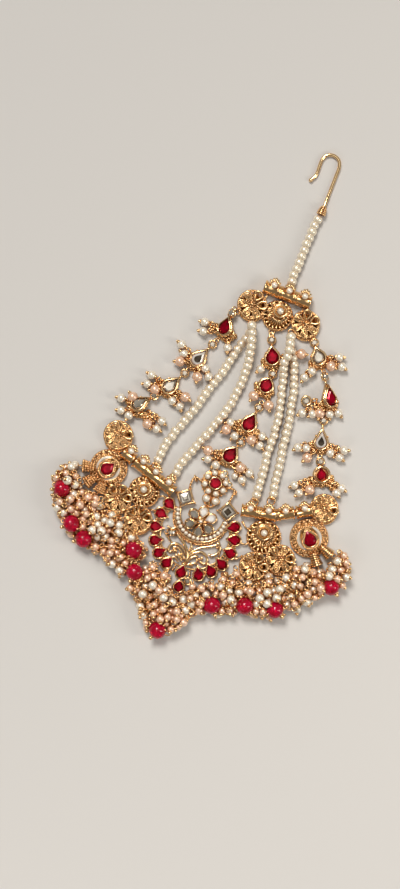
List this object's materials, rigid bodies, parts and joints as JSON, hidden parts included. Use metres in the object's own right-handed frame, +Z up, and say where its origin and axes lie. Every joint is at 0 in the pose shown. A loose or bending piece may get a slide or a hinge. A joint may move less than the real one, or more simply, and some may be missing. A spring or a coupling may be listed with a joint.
{
  "type": "jhoomar side head jewel",
  "caption": "Side head jewel: a hair hook and pearl string, strings and chains of stone drops fanning to a gilt pendant and side clusters, over a pearl fringe.",
  "frame": {"origin": "on the surface it lies on, under the middle of its box", "axes": "+X across the jewel to the right cluster, +Y from the fringe to the hook, +Z up from the surface it lies on"},
  "size_m": [0.1098, 0.1807, 0.0081],
  "materials": {
    "gold": "antique matte gilt",
    "ruby_glass": "polished deep red foil-backed glass",
    "clear_glass": "polished clear foil-backed glass",
    "cream_pearl": "pearl lustre, cream",
    "peach_pearl": "pearl lustre, peach",
    "red_bead": "glossy glass bead"
  },
  "bodies": {
    "root": {"hook": "gold", "top_string": "cream_pearl", "string_left_outer": "cream_pearl", "string_left_inner": "cream_pearl", "string_right_outer": "cream_pearl", "string_right_inner": "cream_pearl", "crest": "gold", "left_drop_1_setting": "gold", "left_drop_1_stone": "ruby_glass", "left_drop_1_pearls": "cream_pearl", "left_drop_2_setting": "gold", "left_drop_2_stone": "clear_glass", "left_drop_2_pearls": "cream_pearl", "left_drop_3_setting": "gold", "left_drop_3_stone": "clear_glass", "left_drop_3_pearls": "cream_pearl", "left_drop_4_setting": "gold", "left_drop_4_stone": "clear_glass", "left_drop_4_pearls": "cream_pearl", "centre_drop_1_setting": "gold", "centre_drop_1_stone": "ruby_glass", "centre_drop_1_pearls": "cream_pearl", "centre_drop_2_setting": "gold", "centre_drop_2_stone": "ruby_glass", "centre_drop_2_pearls": "cream_pearl", "centre_drop_3_setting": "gold", "centre_drop_3_stone": "ruby_glass", "centre_drop_3_pearls": "cream_pearl", "centre_drop_4_setting": "gold", "centre_drop_4_stone": "ruby_glass", "centre_drop_4_pearls": "cream_pearl", "right_drop_1_setting": "gold", "right_drop_1_stone": "clear_glass", "right_drop_1_pearls": "cream_pearl", "right_drop_2_setting": "gold", "right_drop_2_stone": "ruby_glass", "right_drop_2_pearls": "cream_pearl", "right_drop_3_setting": "gold", "right_drop_3_stone": "clear_glass", "right_drop_3_pearls": "cream_pearl", "right_drop_4_setting": "gold", "right_drop_4_stone": "ruby_glass", "right_drop_4_pearls": "cream_pearl", "pearl_flower": "gold", "left_wing": "gold", "right_wing": "gold", "centre_pendant": "gold", "red_bead_1": "red_bead", "red_bead_2": "red_bead", "red_bead_3": "red_bead", "red_bead_4": "red_bead", "red_bead_5": "red_bead", "red_bead_6": "red_bead", "red_bead_7": "red_bead", "red_bead_8": "red_bead", "red_bead_9": "red_bead", "red_bead_10": "red_bead", "fringe_left": "peach_pearl", "fringe_centre": "peach_pearl", "fringe_right": "peach_pearl"}
  },
  "joints": []
}
